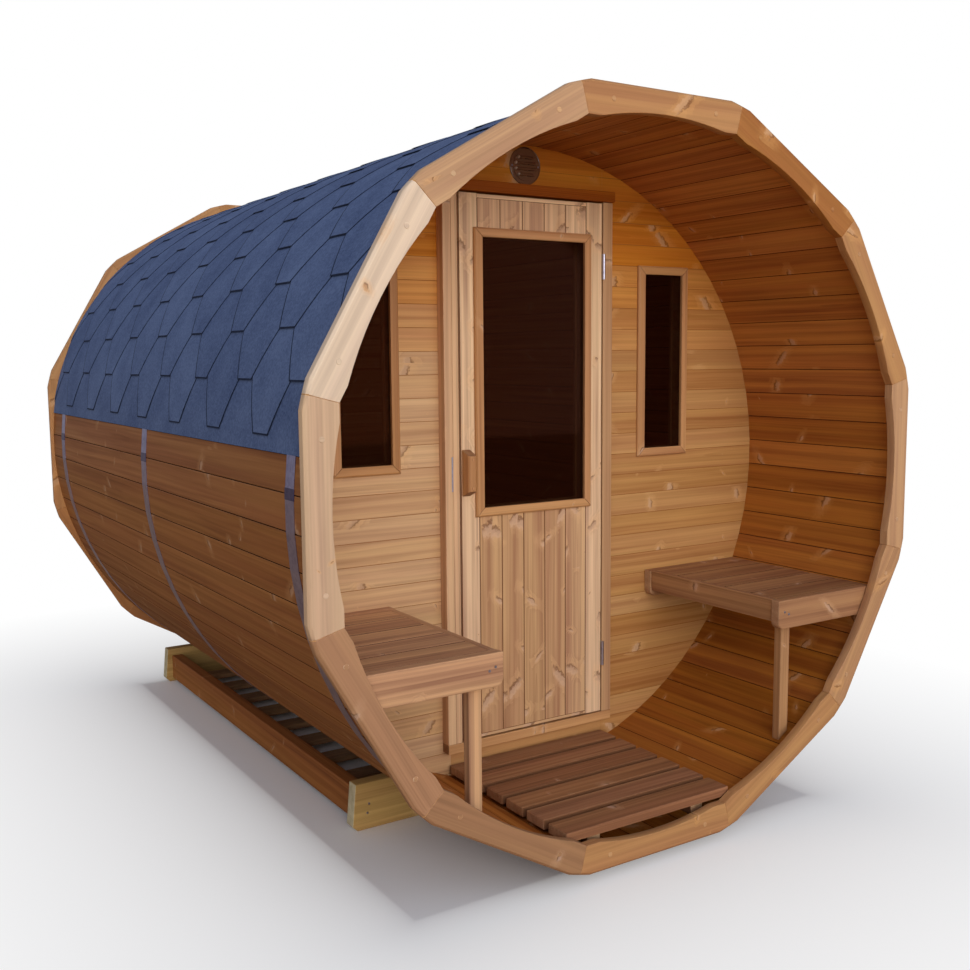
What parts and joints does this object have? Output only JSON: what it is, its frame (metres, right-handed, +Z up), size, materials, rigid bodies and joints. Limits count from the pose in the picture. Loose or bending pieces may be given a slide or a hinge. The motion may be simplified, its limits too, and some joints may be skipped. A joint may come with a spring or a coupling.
{
  "type": "barrel sauna",
  "caption": "Barrel sauna of wooden staves with mitred end rings, a front terrace with benches, a glazed hinged door, narrow windows, a shingle roof, steel hoops and a timber cradle.",
  "frame": {"origin": "on the ground, under the middle of the building", "axes": "+X to the right seen from the terrace, +Y from the terrace to the rear wall, +Z up"},
  "size_m": [2.062, 2.65, 2.092],
  "materials": {
    "stave_wood": "oiled thermally treated pine",
    "ring_wood": "oiled thermally treated pine",
    "wall_wood": "oiled thermally treated pine boards",
    "trim_wood": "planed thermally treated pine",
    "door_wood": "planed thermally treated pine boards",
    "bench_wood": "planed thermally treated pine",
    "dark_glass": "bronze tinted",
    "steel": "brushed",
    "shingles": "slate-blue mineral granules",
    "cradle_wood": "pressure treated pine",
    "bearer_wood": "dark stained pine"
  },
  "bodies": {
    "sauna": {"staves_top": "stave_wood", "staves_upper_right": "stave_wood", "staves_right": "stave_wood", "staves_lower_right": "stave_wood", "staves_bottom": "stave_wood", "staves_lower_left": "stave_wood", "staves_left": "stave_wood", "staves_upper_left": "stave_wood", "front_ring": "ring_wood", "rear_ring": "ring_wood", "front_wall_left": "wall_wood", "front_wall_right": "wall_wood", "front_wall_over_door": "wall_wood", "front_wall_under_door": "wall_wood", "rear_wall": "wall_wood", "door_jambs": "trim_wood", "door_header": "stave_wood", "door_threshold": "trim_wood", "frame_hinges": "steel", "window_trim_left": "trim_wood", "window_trim_right": "trim_wood", "window_glass_left": "dark_glass", "window_glass_right": "dark_glass", "vent_grille": "steel", "bench_left_frame": "bench_wood", "bench_left_slats": "bench_wood", "bench_right_frame": "bench_wood", "bench_right_slats": "bench_wood", "terrace_floor": "bench_wood", "cabin_floor": "bench_wood", "roof_left": "shingles", "roof_right": "shingles", "hoops": "steel", "cradle_beam_front": "cradle_wood", "cradle_beam_rear": "cradle_wood", "cradle_bearers": "bearer_wood", "cradle_slats": "bearer_wood"},
    "door": {"door_leaf": "door_wood", "door_glass": "dark_glass", "door_trim": "trim_wood", "door_handle": "trim_wood", "door_hinges": "steel"}
  },
  "joints": [
    {"name": "door_swing", "type": "hinge", "parent": "sauna", "child": "door", "pos_m": [0.2775, -0.7248, 1.058], "axis": [0, 0, 1], "range_deg": [0, 100]}
  ]
}
